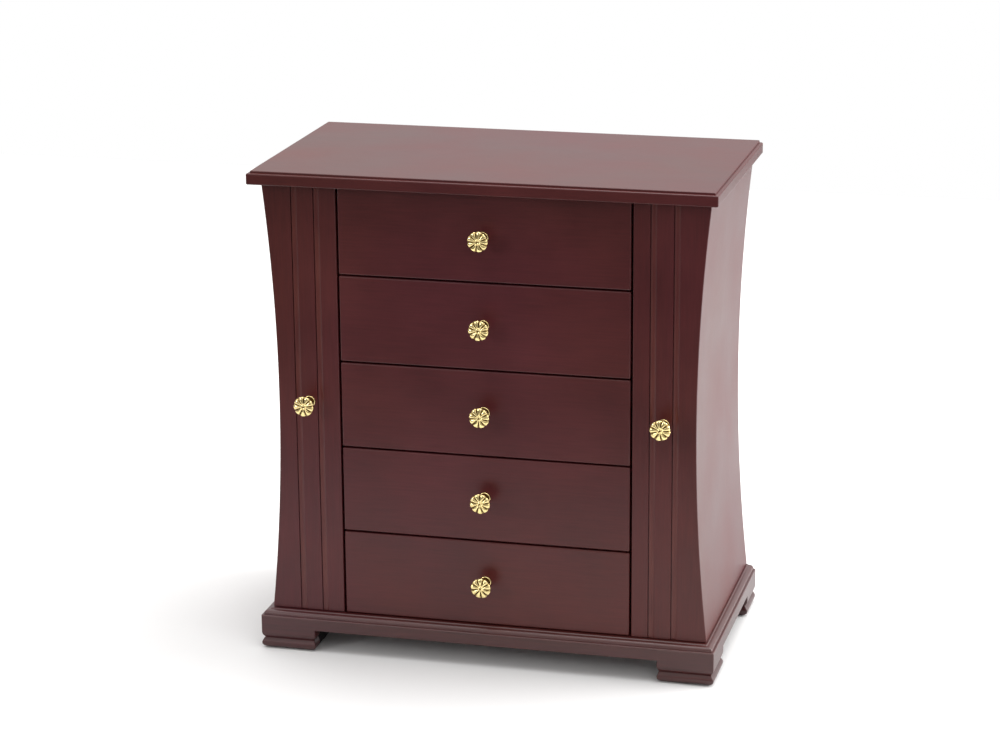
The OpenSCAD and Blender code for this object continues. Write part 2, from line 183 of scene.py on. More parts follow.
def finish_of(name, constants, varying):
    """A material: constants sit on the shader's own sockets, and varying(wire) gives its links."""
    made = bpy.data.materials.new(name)
    made.use_nodes = True
    shader = made.node_tree.nodes["Principled BSDF"]
    for socket, value in constants.items():
        shader.inputs[socket].default_value = value
    for socket, wire in varying(Wire(made.node_tree)).items():
        made.node_tree.links.new(wire.socket, shader.inputs[socket])
    return made


# The table is painted darker towards the front and lighter behind: painted shade, which dims what it bounces
# onto the chest and mirrors in the lacquer.
def table_paint(wire):
    place = wire.node("ShaderNodeTexCoord", out="Object")
    lighter_behind = wire.node("ShaderNodeMapRange", {"Value": place.parts()[1], "From Min": -0.1, "From Max": 0.5})
    cloud = noise(place, 3, 2)
    paint = mixed(0.9 * lighter_behind + 0.1 * cloud, (0.69, 0.69, 0.69, 1), (0.83, 0.83, 0.83, 1))
    return {"Base Color": paint}


def mesh_piece(name, points, faces, finish):
    """An object at the origin made of these points and faces."""
    mesh = bpy.data.meshes.new(name)
    mesh.from_pydata([tuple(point) for point in points], [], faces)
    mesh.materials.append(finish)
    made = bpy.data.objects.new(name, mesh)
    bpy.context.scene.collection.objects.link(made)
    return made


table_side, table_front, table_rear = 2, -0.5, 1.5
table = mesh_piece("table_top", [(-table_side, table_front, 0), (table_side, table_front, 0),
                                 (table_side, table_rear, 0), (-table_side, table_rear, 0)],
                   [(0, 1, 2, 3)], finish_of("table_white", {"Roughness": 0.8}, table_paint))

# ---------- Top board and floor board ----------
# Solid boards in red-brown lacquer. A moulding is cut round the front and the two sides, and
# the rear edge is square. The doors swing between them and the case is screwed to them.

PLUM_DARK = (0.046, 0.0068, 0.0090)
PLUM_LIGHT = (0.082, 0.0118, 0.0162)
RUST_DARK = (0.046, 0.0076, 0.0068)
RUST_LIGHT = (0.084, 0.0140, 0.0116)


def lacquer(name, along, gloss=0.39, depth=1.0, streaks=0.45, wear_and_light=None):
    """Satin red-brown lacquer over fine wood grain that runs along one axis. streaks is how much
    of the tone follows the grain. depth scales the colour: a darker copy below 1 is painted shade,
    a lighter copy above 1 is painted light. wear_and_light(wire) can give the places, from 0 to 1,
    painted a lighter brown: lacquer thinned by wear, and painted light."""
    stretch = [1 if axis == along else 24 for axis in "xyz"]
    # depth scales the whole palette: a darker copy is painted shade, a lighter copy is painted light.
    plum_dark, plum_light, rust_dark, rust_light = [
        tuple(depth * part for part in shade) for shade in (PLUM_DARK, PLUM_LIGHT, RUST_DARK, RUST_LIGHT)]

    def varying(wire):
        place = wire.node("ShaderNodeTexCoord", out="Object")
        run = wire.node("ShaderNodeMapping", {"Vector": place, "Scale": stretch})
        fibre = noise(run, 40, 5, Roughness=0.6)
        pores = noise(run, 110, 2)
        cloud = noise(place, 14, 3)
        drift = noise(place, 5, 2)
        speckle = noise(place, 1500, 2)
        tone = streaks * fibre + (1 - streaks) * cloud
        plum = wire.node("ShaderNodeValToRGB", {"Fac": tone}, stops=[(0.30, plum_dark), (0.70, plum_light)])
        rust = wire.node("ShaderNodeValToRGB", {"Fac": tone}, stops=[(0.30, rust_dark), (0.70, rust_light)])
        hue = wire.node("ShaderNodeMapRange", {"Value": drift, "From Min": 0.28, "From Max": 0.62})
        colour = mixed(hue, plum, rust)
        # Lighter brown where wear_and_light gives it: thinned lacquer, and painted light.
        if wear_and_light:
            thinned_and_lit = wear_and_light(wire)
            colour = mixed(thinned_and_lit, colour, (0.130, 0.034, 0.023, 1))
        height = 0.6 * fibre + 0.4 * pores
        grain = raised(height, 0.10, 0.0004)
        skin = raised(speckle, 0.06, 0.0002, Normal=grain)
        return {"Base Color": colour, "Roughness": 0.27 + 0.14 * cloud, "Normal": skin}

    return finish_of(name, {"Specular IOR Level": gloss, "IOR": 1.5}, varying)


lacquer_x = lacquer("lacquer_along_x", "x")
lacquer_y = lacquer("lacquer_along_y", "y")
lacquer_z = lacquer("lacquer_along_z", "z")


def arc(cx, cy, radius, start, end, steps=8):
    """Points on an arc, from one angle in degrees to another."""
    turns = [math.radians(start + (end - start) * step / steps) for step in range(steps + 1)]
    return [(cx + radius * math.cos(turn), cy + radius * math.sin(turn)) for turn in turns]


def smooth(piece, sharp=32):
    """Smooth shading that keeps flats flat and edges over this angle sharp."""
    piece.data.shade_smooth()
    piece.data.set_sharp_from_angle(angle=math.radians(sharp))
    even = piece.modifiers.new("even_shading", "WEIGHTED_NORMAL")
    even.keep_sharp = True
    even.weight = 80


def band_faces(rows, ring):
    """Faces between rows of points, each row a closed ring."""
    return [(row * ring + step, row * ring + (step + 1) % ring,
             (row + 1) * ring + (step + 1) % ring, (row + 1) * ring + step)
            for row in range(rows - 1) for step in range(ring)]


def moulded(name, corners, base, edge, finish):
    """A block whose sides follow edge, (inset, height) in mm from the bottom up. Each corner is
    (x, y, dx, dy), anticlockwise: where it stands, and how far it moves in for each mm of inset."""
    ease = 0.7 * MM
    points = []
    for inset, height in edge:
        outline = [Vector((x + dx * inset * MM, y + dy * inset * MM, base + height * MM))
                   for x, y, dx, dy in corners]
        for at, corner in enumerate(outline):
            back = (outline[at - 1] - corner).normalized() * ease
            on = (outline[(at + 1) % len(outline)] - corner).normalized() * ease
            points += [corner + back * (1 - sine) + on * (1 - cosine)
                       for cosine, sine in arc(0, 0, 1, 0, 90, 4)]
    ring = len(points) // len(edge)
    faces = band_faces(len(edge), ring)
    faces.append(tuple(reversed(range(ring))))
    faces.append(tuple(range(len(points) - ring, len(points))))
    made = mesh_piece(name, points, faces, finish)
    smooth(made)
    return made


def board_corners(low, high, rear):
    """Corners of a board moulded at the front and both sides, and by this much at the rear."""
    return [(low.x, low.y, 1, 1), (high.x, low.y, -1, 1),
            (high.x, high.y, -1, -rear), (low.x, high.y, 1, -rear)]


def settle(piece, body, slot, *nodes):
    """The finished piece rides on its body and stands for its CAD nodes, which are hidden. slot is not used.
    """
    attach(piece, body)
    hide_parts(*nodes)


low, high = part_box("top_board")
thickness = (high.z - low.z) / MM
top_edge = [(0.5, 0), *arc(0.8, 0.8, 0.8, 240, 180), *arc(1.0, thickness - 2.6, 1.0, 180, 90),
            (2.25, thickness - 1.5), (2.3, thickness - 0.7), *arc(2.95, thickness - 0.65, 0.65, 180, 90)]
REAR_EASE = 0.25
top_board = moulded("top_board_moulded", board_corners(low, high, REAR_EASE), low.z, top_edge, lacquer_x)
settle(top_board, "case", "lacquer", "top_board")

low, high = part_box("floor_board")
thickness = (high.z - low.z) / MM
floor_edge = [(0, 0), *arc(0.6, 0.45, 0.6, 180, 90), (1.5, 1.05), *arc(4.4, 1.3, 2.9, 180, 90),
              (5.3, 4.25), (5.9, thickness)]
# The floor board takes a darker copy of the lacquer (depth 0.85): painted shade low on the chest.
floor_lacquer = lacquer("floor_board_lacquer_shaded", "x", 0.85, 0.85, 0.8)
floor_board = moulded("floor_board_moulded", board_corners(low, high, REAR_EASE), low.z,
                      floor_edge, floor_lacquer)
settle(floor_board, "case", "lacquer", "floor_board")

# ---------- Plinth: bracket feet and aprons ----------
# Feet cut from thick stock with a cove and a rounded bead at the floor, the moulding returned
# round their ends. Square aprons join them under the floor board. Felt pads are stuck beneath.

foot_edge = [(2.2, 0), *arc(3.4, 3.4, 3.4, 240, 150, 12), (1.5, 6.8), (2.1, 7.3),
             *arc(5.5, 11.7, 5.5, 230, 180, 10), (0, 23.6)]


def boards(name, blocks, ease, finish):
    """Square-cut boards in one mesh, (low, high) each, with their edges eased."""
    points, faces = [], []
    for low, high in blocks:
        first = len(points)
        points += [(x, y, z) for z in (low[2], high[2]) for y in (low[1], high[1])
                   for x in (low[0], high[0])]
        faces += [tuple(first + corner for corner in face) for face in
                  ((0, 2, 3, 1), (4, 5, 7, 6), (0, 1, 5, 4), (2, 6, 7, 3), (0, 4, 6, 2), (1, 3, 7, 5))]
    made = mesh_piece(name, points, faces, finish)
    rounding = made.modifiers.new("eased_edges", "BEVEL")
    rounding.width = ease * MM
    rounding.segments = 3
    rounding.limit_method = "ANGLE"
    smooth(made, 60)
    return made


def joined(name, pieces):
    """Several meshes made one piece."""
    with bpy.context.temp_override(active_object=pieces[0], selected_editable_objects=pieces,
                                   selected_objects=pieces, object=pieces[0]):
        bpy.ops.object.join()
    pieces[0].name = name
    pieces[0].data.name = name
    return pieces[0]


low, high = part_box("feet")
foot_width = 40.3 * MM
front_depth, rear_depth = 39.8 * MM, 36.3 * MM
wood = 12 * MM
sunk = 1.2 * MM
lap = 0.5 * MM
# Feet and aprons take a darker copy of the lacquer (depth 0.68): painted shade on the plinth.
plinth_x = lacquer("plinth_lacquer_shaded_along_x", "x", 0.60, 0.68, 0.8)
plinth_y = lacquer("plinth_lacquer_shaded_along_y", "y", 0.60, 0.68, 0.8)
feet, glue_blocks = [], []
for side in (-1, 1):
    for end, depth, face_inset in ((-1, front_depth, 1), (1, rear_depth, 0.2)):
        x, y = (low.x if side < 0 else high.x), (low.y if end < 0 else high.y)
        x_in, y_in = x - side * foot_width, y - end * depth
        corners = [(x, y, -side, -end * face_inset), (x_in, y, side * 0.7, -end * face_inset),
                   (x_in, y - end * wood, side * 0.7, 0), (x - side * wood, y - end * wood, 0, 0),
                   (x - side * wood, y_in, 0, end * 0.7), (x, y_in, -side, end * 0.7)]
        if side == end:
            corners.reverse()
        feet.append(moulded("foot", corners, low.z, foot_edge, plinth_x))
        block_x = sorted((x - side * (wood - lap), x_in + side * sunk))
        block_y = sorted((y - end * (wood - lap), y_in + end * sunk))
        glue_blocks.append(((block_x[0], block_y[0], low.z), (block_x[1], block_y[1], high.z)))
feet = joined("feet_moulded", feet)
settle(feet, "case", "lacquer", "feet")


# The glue blocks are coloured near black, so the inner ends of the feet are dark behind the lacquered front
# board.
def near_black_colour(wire):
    place = wire.node("ShaderNodeTexCoord", out="Object")
    fibre = noise(place, 160, 4)
    shade = mixed(fibre, (0.004, 0.0035, 0.0035, 1), (0.012, 0.009, 0.009, 1))
    rough = raised(fibre, 0.3, 0.0004)
    return {"Base Color": shade, "Normal": rough}


blocks = boards("feet_glue_blocks", glue_blocks, 0.8,
                finish_of("near_black_wood", {"Roughness": 0.7, "Specular IOR Level": 0.2}, near_black_colour))
settle(blocks, "case", "lacquer", "feet")

low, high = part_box("aprons")
apron = 10 * MM
into_foot = 1 * MM
x0, x1 = low.x + foot_width - into_foot, high.x - foot_width + into_foot
front_apron = boards("aprons_front_and_rear", [
    ((x0, low.y, low.z), (x1, low.y + apron, high.z)),
    ((x0, high.y - apron, low.z), (x1, high.y, high.z)),
], 0.3, plinth_x)
settle(front_apron, "case", "lacquer", "aprons")
y0, y1 = low.y + 39 * MM, high.y - 35.5 * MM
side_apron = boards("aprons_at_the_sides", [
    ((low.x, y0, low.z), (low.x + apron, y1, high.z)),
    ((high.x - apron, y0, low.z), (high.x, y1, high.z)),
], 0.3, plinth_y)
settle(side_apron, "case", "lacquer", "aprons")


def felt(wire):
    place = wire.node("ShaderNodeTexCoord", out="Object")
    tufts = noise(place, 900, 4)
    shade = mixed(tufts, (0.006, 0.006, 0.006, 1), (0.03, 0.03, 0.03, 1))
    nap = raised(tufts, 0.6, 0.0004)
    return {"Base Color": shade, "Normal": nap}


def dress(node, finish):
    """A CAD node that stays gets its finish."""
    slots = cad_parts[node].data.materials
    slots.clear()
    slots.append(finish)


dress("felt_pads", finish_of("black_felt", {"Roughness": 0.95}, felt))

# ---------- Case inside ----------
# Back panel in the same lacquer, housed between the two boards. Plain stained boards part the
# drawers from the side compartments and carry the drawers. Steel screws and brass pivot pins.

low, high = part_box("back_panel")
back_panel = boards("back_panel_board", [(low, high)], 0.5, lacquer_z)
settle(back_panel, "case", "lacquer", "back_panel")


def stained(name, along, dark, light):
    """Stained wood with open grain, barely sealed."""
    stretch = [1 if axis == along else 18 for axis in "xyz"]

    def varying(wire):
        place = wire.node("ShaderNodeTexCoord", out="Object")
        run = wire.node("ShaderNodeMapping", {"Vector": place, "Scale": stretch})
        fibre = noise(run, 34, 6, Roughness=0.65)
        rings = noise(run, 7, 2, Distortion=0.6)
        tone = 0.55 * fibre + 0.45 * rings
        colour = wire.node("ShaderNodeValToRGB", {"Fac": tone}, stops=[(0.34, dark), (0.66, light)])
        grain = raised(fibre, 0.25, 0.0004)
        return {"Base Color": colour, "Roughness": 0.5 + 0.15 * fibre, "Normal": grain}

    return finish_of(name, {"Specular IOR Level": 0.4}, varying)


BROWN_DARK = (0.060, 0.022, 0.014)
BROWN_LIGHT = (0.125, 0.052, 0.030)
case_brown = stained("case_wood_brown", "y", BROWN_DARK, BROWN_LIGHT)
dress("partitions", stained("case_wood_upright", "z", BROWN_DARK, BROWN_LIGHT))
dress("runner_boards", case_brown)
dress("top_cleats", case_brown)


def bright_metal(name, dark, light, roughness, scratch):
    """Polished metal with a faint uneven polish."""

    def varying(wire):
        place = wire.node("ShaderNodeTexCoord", out="Object")
        rub = noise(place, 420, 3)
        colour = mixed(rub, dark, light)
        marks = raised(rub, scratch, 0.0002)
        return {"Base Color": colour, "Roughness": roughness + 0.1 * rub, "Normal": marks}

    return finish_of(name, {"Metallic": 1}, varying)


steel = bright_metal("steel_plated", (0.42, 0.42, 0.43, 1), (0.62, 0.62, 0.64, 1), 0.22, 0.08)
brass = bright_metal("brass_polished", (0.74, 0.60, 0.28, 1), (0.93, 0.80, 0.50, 1), 0.06, 0.05)
dress("case_screws", steel)
dress("catch_magnets", steel)
dress("hinge_pins", brass)

# ---------- Drawer fronts ----------
# Five plain lacquered boards with lightly eased edges, grain running across the chest.

drawer_numbers = range(1, 6)
for number in drawer_numbers:
    low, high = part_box(f"drawer_{number}_front")
    front = boards(f"drawer_{number}_front_board", [(low, high)], 0.8, lacquer_x)
    settle(front, f"drawer_{number}", "lacquer", f"drawer_{number}_front")

# ---------- Drawer boxes ----------
# Thin stained boards glued to the back of each front, with a bottom let in between them.

BOX_WALL = 5 * MM
drawer_brown = stained("drawer_wood", "y", (0.070, 0.027, 0.017), (0.15, 0.066, 0.040))
for number in drawer_numbers:
    low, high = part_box(f"drawer_{number}_box")
    box = boards(f"drawer_{number}_box_boards", [
        (low, (low.x + BOX_WALL, high.y, high.z)),
        ((high.x - BOX_WALL, low.y, low.z), high),
        ((low.x + BOX_WALL, high.y - BOX_WALL, low.z), (high.x - BOX_WALL, high.y, high.z)),
    ], 0.5, drawer_brown)
    settle(box, f"drawer_{number}", "case_wood", f"drawer_{number}_box")
    dress(f"drawer_{number}_bottom", drawer_brown)
    dress(f"drawer_{number}_screw", steel)

# ---------- Velvet in the drawers ----------
# Wine-red velvet: a thin padded bed and lined walls in every drawer, six foam ring rolls in the
# top one and two covered dividers in the second. All of it is glued in.


def velvet_pile(wire):
    place = wire.node("ShaderNodeTexCoord", out="Object")
    pile = noise(place, 1400, 4, Roughness=0.7)
    brushed = noise(place, 34, 3, Distortion=1.2)
    tone = 0.45 * pile + 0.55 * brushed
    colour = wire.node("ShaderNodeValToRGB", {"Fac": tone},
                       stops=[(0.30, (0.050, 0.004, 0.010)), (0.70, (0.120, 0.012, 0.024))])
    nap = raised(pile, 0.55, 0.0005)
    return {"Base Color": colour, "Roughness": 0.82 + 0.12 * brushed, "Normal": nap}


velvet = finish_of("velvet_wine", {"Specular IOR Level": 0.15, "Sheen Weight": 0.8, "Sheen Roughness": 0.35,
                                   "Sheen Tint": (0.85, 0.35, 0.42, 1)}, velvet_pile)


def cushion(name, low, high, rim, steps, finish):
    """A thin pad with a rolled rim and a slightly crowned, uneven top."""
    points, faces = [], []
    columns, rows = steps
    height = high.z - low.z
    for row in range(rows + 1):
        for column in range(columns + 1):
            x = low.x + (high.x - low.x) * column / columns
            y = low.y + (high.y - low.y) * row / rows
            edge = min(x - low.x, high.x - x, y - low.y, high.y - y)
            roll_up = math.sqrt(max(0, 1 - (1 - min(1, edge / rim)) ** 2))
            ripple = 0.06 * math.sin(x * 95 + math.sin(y * 70)) * math.sin(y * 110 + 1.3)
            points.append((x, y, low.z + height * (0.25 + 0.69 * roll_up + ripple * roll_up)))
    across_row = columns + 1
    for row in range(rows):
        for column in range(columns):
            at = row * across_row + column
            faces.append((at, at + 1, at + across_row + 1, at + across_row))
    rim_loop = (list(range(columns))
                + [row * across_row + columns for row in range(rows)]
                + [rows * across_row + column for column in range(columns, 0, -1)]
                + [row * across_row for row in range(rows, 0, -1)])
    below = {}
    for at in rim_loop:
        below[at] = len(points)
        points.append((points[at][0], points[at][1], low.z))
    for at, after in zip(rim_loop, rim_loop[1:] + rim_loop[:1]):
        faces.append((after, at, below[at], below[after]))
    faces.append(tuple(below[at] for at in reversed(rim_loop)))
    made = mesh_piece(name, points, faces, finish)
    made.data.shade_smooth()
    made.data.set_sharp_from_angle(angle=math.radians(60))
    return made


def new_tree(name, **inputs):
    """A Geometry Nodes tree with these named inputs; gives the tree and a Wire for each input."""
    tree = bpy.data.node_groups.new(name, "GeometryNodeTree")
    tree.interface.new_socket("Geometry", in_out="OUTPUT", socket_type="NodeSocketGeometry")
    for label, kind in inputs.items():
        tree.interface.new_socket(label, in_out="INPUT", socket_type="NodeSocket" + kind)
    start = tree.nodes.new("NodeGroupInput")
    return tree, {label: Wire(tree, start.outputs[label]) for label in inputs}


def close_tree(tree, shape, finish):
    """The last nodes of every tree: real geometry, smooth, in its finish."""
    real = shape.node("GeometryNodeRealizeInstances", {0: shape})
    soft = real.node("GeometryNodeSetShadeSmooth", {0: real})
    dressed = soft.node("GeometryNodeSetMaterial", {"Geometry": soft, "Material": finish})
    end = tree.nodes.new("NodeGroupOutput")
    tree.links.new(dressed.socket, end.inputs[0])


def grow(name, tree, values, start=((), (), ())):
    """Runs a tree on a new object that holds these points, edges and faces, and leaves a plain mesh
    with its normals outward."""
    mesh = bpy.data.meshes.new(name)
    mesh.from_pydata(*start)
    made = bpy.data.objects.new(name, mesh)
    bpy.context.scene.collection.objects.link(made)
    modifier = made.modifiers.new("shape", "NODES")
    modifier.node_group = tree
    for item in tree.interface.items_tree:
        if item.in_out == "INPUT" and item.name in values:
            modifier[item.identifier] = values[item.name]
    graph = bpy.context.evaluated_depsgraph_get()
    grown = bpy.data.meshes.new_from_object(made.evaluated_get(graph), preserve_all_data_layers=True,
                                            depsgraph=graph)
    made.modifiers.clear()
    made.data = grown
    grown.name = name
    tidy = bmesh.new()
    tidy.from_mesh(grown)
    bmesh.ops.remove_doubles(tidy, verts=tidy.verts, dist=0.000002)
    bmesh.ops.recalc_face_normals(tidy, faces=tidy.faces)
    tidy.to_mesh(grown)
    tidy.free()
    return made


# One soft roll with domed ends, repeated along the drawer.
roll_tree, roll = new_tree("ring_rolls", Count="Int", Pitch="Float", Radius="Float", Length="Float",
                           Start="Vector", Finish="Material")
line = roll["Length"].node("GeometryNodeCurvePrimitiveLine", {"End": (1, 0, 0)})
line = line.node("GeometryNodeResampleCurve", {"Curve": line, "Count": 70})
share = line.node("GeometryNodeSplineParameter", out="Factor")
from_end = share.math("MINIMUM", share, 1 - share) * roll["Length"] / (0.55 * roll["Radius"])
from_dome = 1 - share.math("MINIMUM", from_end, 1)
taper = share.math("SQRT", 1 - from_dome * from_dome)
dent = share.node("ShaderNodeTexNoise", {"Scale": 30, "Detail": 1})
girth = roll["Radius"] * (0.42 + 0.545 * taper + 0.03 * dent)
stretched = line.node("GeometryNodeSetPosition", {
    "Geometry": line,
    "Position": share.node("ShaderNodeCombineXYZ", {"X": share * roll["Length"]})})
ring = line.node("GeometryNodeCurvePrimitiveCircle", {"Resolution": 28, "Radius": 1})
one_roll = line.node("GeometryNodeCurveToMesh", {"Curve": stretched, "Profile Curve": ring, "Scale": girth,
                                                 "Fill Caps": True})
stations = line.node("GeometryNodeMeshLine", {
    "Count": roll["Count"], "Start Location": roll["Start"],
    "Offset": share.node("ShaderNodeCombineXYZ", {"Y": roll["Pitch"]})})
all_rolls = line.node("GeometryNodeInstanceOnPoints", {"Points": stations, "Instance": one_roll})
close_tree(roll_tree, all_rolls, roll["Finish"])

for number in drawer_numbers:
    body = f"drawer_{number}"
    low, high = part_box(f"drawer_{number}_lining")
    bed_top = low.z + 2 * MM
    bed = cushion(f"drawer_{number}_velvet_bed", low, Vector((high.x, high.y, bed_top)), 2.2 * MM,
                  (98, 71), velvet)
    settle(bed, body, "velvet", f"drawer_{number}_lining")

    box_low, box_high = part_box(f"drawer_{number}_box")
    skin, lip = 0.4 * MM, 2.5 * MM
    x0, x1 = box_low.x + BOX_WALL, box_high.x - BOX_WALL
    y0, y1 = box_low.y, box_high.y - BOX_WALL
    z0, z1 = low.z, box_high.z - lip
    walls = boards(f"drawer_{number}_velvet_walls", [
        ((x0, y0, z0), (x0 + skin, y1, z1)),
        ((x1 - skin, y0, z0), (x1, y1, z1)),
        ((x0 + skin, y0, z0), (x1 - skin, y0 + skin, z1)),
        ((x0 + skin, y1 - skin, z0), (x1 - skin, y1, z1)),
    ], 0.15, velvet)
    settle(walls, body, "velvet")

    if number == 1:
        count, diameter, pitch = 6, 12 * MM, 12.6 * MM
        rolls = grow("drawer_1_ring_rolls", roll_tree, {
            "Count": count, "Pitch": pitch, "Radius": diameter / 2, "Length": high.x - low.x - 1 * MM,
            "Start": (low.x + 0.5 * MM, low.y + 4.5 * MM + pitch / 2, high.z - diameter / 2),
            "Finish": velvet})
        settle(rolls, body, "velvet")
    if number == 2:
        inner, outer = (high.x - low.x) / 6, (high.x - low.x) / 6 + 3 * MM
        foot = bed_top - 0.8 * MM
        dividers = boards("drawer_2_velvet_dividers", [
            ((inner, low.y, foot), (outer, high.y, high.z)),
            ((-outer, low.y, foot), (-inner, high.y, high.z)),
        ], 1.2, velvet)
        settle(dividers, body, "velvet")

# ---------- Knobs ----------
# Cast brass rosettes: nine rounded petals round a dished eye, on a turned neck and flange,
# drawn tight by a screw from behind. Each is turned to a different angle.

PETALS = 9


# Dark olive where patina_and_shade is set: patina in the grooves between the petals and in the dished eye,
# and painted shade on the neck and the flange inside its rim, behind the head.
def brass_with_patina_and_shade(wire):
    place = wire.node("ShaderNodeTexCoord", out="Object")
    rub = noise(place, 700, 3)
    patina_and_shade = wire.node("ShaderNodeAttribute", out="Fac", attribute_name="patina_and_shade")
    patina_and_shade_share = wire.node("ShaderNodeMapRange", {"Value": patina_and_shade * (0.8 + 0.4 * rub)})
    clean = mixed(rub, (1.0, 0.76, 0.30, 1), (1.0, 0.86, 0.46, 1))
    colour = mixed(patina_and_shade_share, clean, (0.125, 0.066, 0.010, 1))
    marks = raised(rub, 0.08, 0.0002)
    return {"Base Color": colour, "Roughness": 0.15 + 0.28 * patina_and_shade_share + 0.06 * rub, "Normal": marks}


cast_brass = finish_of("brass_cast", {"Metallic": 1}, brass_with_patina_and_shade)


def turned(profile, steps=48):
    """Points and faces of a turned shape round +Z; profile is (radius, height) in mm, axis to axis."""
    points = []
    for radius, height in profile:
        for step in range(steps):
            turn = 2 * math.pi * step / steps
            points.append((radius * math.cos(turn) * MM, radius * math.sin(turn) * MM, height * MM))
    return points, band_faces(len(profile), steps)


rosette_tree, rosette = new_tree("rosette", Body="Geometry", Petals="Int", Circle="Float", Length="Float",
                                 Width="Float", Height="Float", Crown="Float", Turn="Float",
                                 Place="Vector", Finish="Material")
ball = rosette["Body"].node("GeometryNodeMeshUVSphere", {"Segments": 28, "Rings": 16, "Radius": 1})
spot_x, spot_y, spot_z = ball.node("GeometryNodeInputPosition").parts()
reach_out = ball.math("SINE", spot_x * (math.pi / 2)) * rosette["Length"]
from_eye = (reach_out + rosette["Circle"]) / (rosette["Circle"] + rosette["Length"])
side_on = ball.math("ABSOLUTE", spot_y)
deep = ball.node("ShaderNodeMapRange", {"Value": side_on, "From Min": 0.42, "From Max": 0.66})
inward = ball.node("ShaderNodeMapRange", {"Value": from_eye, "From Min": 0.96, "From Max": 0.74})
marked = ball.node("GeometryNodeStoreNamedAttribute", {"Geometry": ball, "Name": "patina_and_shade",
                                                       "Value": deep * inward})
petal = ball.node("GeometryNodeSetPosition", {"Geometry": marked, "Position": ball.node(
    "ShaderNodeCombineXYZ", {"X": reach_out, "Y": spot_y * rosette["Width"] * from_eye,
                             "Z": spot_z * rosette["Height"] * (0.75 + 0.3 * from_eye)})})
petal = petal.node("GeometryNodeTransform", {"Geometry": petal, "Rotation": (0, math.radians(9), 0)})
posts = ball.node("GeometryNodeMeshCircle", {"Vertices": rosette["Petals"], "Radius": rosette["Circle"]})
index = ball.node("GeometryNodeInputIndex")
facing = ball.node("FunctionNodeEulerToRotation", {0: ball.node(
    "ShaderNodeCombineXYZ", {"Z": index * (2 * math.pi) / rosette["Petals"]})})
petals = ball.node("GeometryNodeInstanceOnPoints", {"Points": posts, "Instance": petal, "Rotation": facing})
petals = petals.node("GeometryNodeTransform", {
    "Geometry": petals, "Translation": petals.node("ShaderNodeCombineXYZ", {"Z": rosette["Crown"]})})
# Behind the head, everything but the flange rim is marked dark: painted shade on the neck and inner flange.
# In the head only the dished eye is marked, as patina.
from_axis = ball.math("SQRT", spot_x * spot_x + spot_y * spot_y)
behind_head = ball.math("LESS_THAN", spot_z, 12.6 * MM)
off_rim = ball.math("MAXIMUM", ball.math("LESS_THAN", from_axis, 3.5 * MM),
                    ball.math("GREATER_THAN", spot_z, 2 * MM))
eye = ball.math("LESS_THAN", from_axis, 0.75 * MM)
stem = ball.node("GeometryNodeStoreNamedAttribute", {
    "Geometry": rosette["Body"], "Name": "patina_and_shade",
    "Value": behind_head * off_rim + (1 - behind_head) * eye})
flower = petals.tree.nodes.new("GeometryNodeJoinGeometry")
petals.tree.links.new(petals.socket, flower.inputs[0])
petals.tree.links.new(stem.socket, flower.inputs[0])
spun = petals.node("GeometryNodeTransform", {
    "Geometry": Wire(rosette_tree, flower.outputs[0]),
    "Rotation": petals.node("ShaderNodeCombineXYZ", {"Z": rosette["Turn"]})})
stood = spun.node("GeometryNodeTransform", {"Geometry": spun, "Rotation": (math.radians(90), 0, 0),
                                            "Translation": rosette["Place"]})
close_tree(rosette_tree, stood, rosette["Finish"])


def knob(node, body, turn):
    """One knob: the turned body as the tree's own geometry, with its petals added in front."""
    low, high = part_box(node)
    radius = (high.x - low.x) / 2 / MM
    reach = (high.y - low.y) / MM
    flange = [(0, 0), (4.1, 0), (4.2, 0.15), (4.2, 0.7), *arc(3.7, 0.9, 0.5, 0, 110, 6),
              (3.3, 1.1), (2.8, 1.1)]
    neck = [(2.5, 1.5), (2.4, 3.0), (2.4, 6.2), (2.5, 8.0), (3.2, 9.4), (4.6, 10.4)]
    head = [(radius - 1.3, 11.2), (radius - 0.75, 12.0), (radius - 0.9, 12.9), (radius - 2.0, 13.7),
            (2.6, reach - 1.5), (1.9, reach - 0.75)]
    dished_eye = [(1.5, reach - 0.4), (1.0, reach - 0.4), (0.6, reach - 0.8), (0, reach - 0.85)]
    points, faces = turned(flange + neck + head + dished_eye)
    cast = grow(node + "_rosette", rosette_tree, {
        "Petals": PETALS, "Circle": (radius - 3.25) * MM, "Length": 3.25 * MM, "Width": 3.05 * MM,
        "Height": 1.8 * MM, "Crown": (reach - 2.35) * MM, "Turn": math.radians(turn),
        "Place": ((low.x + high.x) / 2, high.y, (low.z + high.z) / 2), "Finish": cast_brass},
        start=(points, [], faces))
    cast.data.set_sharp_from_angle(angle=math.radians(50))
    settle(cast, body, "brass", node)


for number in drawer_numbers:
    knob(f"drawer_{number}_knob", f"drawer_{number}", 18 + 23 * number)

# ---------- Doors ----------
# Each side is a door: a fluted stile in front, a waisted panel, two rails and a rear post that
# turns on brass pins. All lacquered, and lined with velvet inside.

bow_low, bow_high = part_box("right_door_side")
mid_z = (bow_low.z + bow_high.z) / 2
chord = (bow_high.z - bow_low.z) / 2
waist_x = 149.8 * MM
rise = bow_high.x - waist_x
bow_radius = (chord * chord + rise * rise) / (2 * rise)

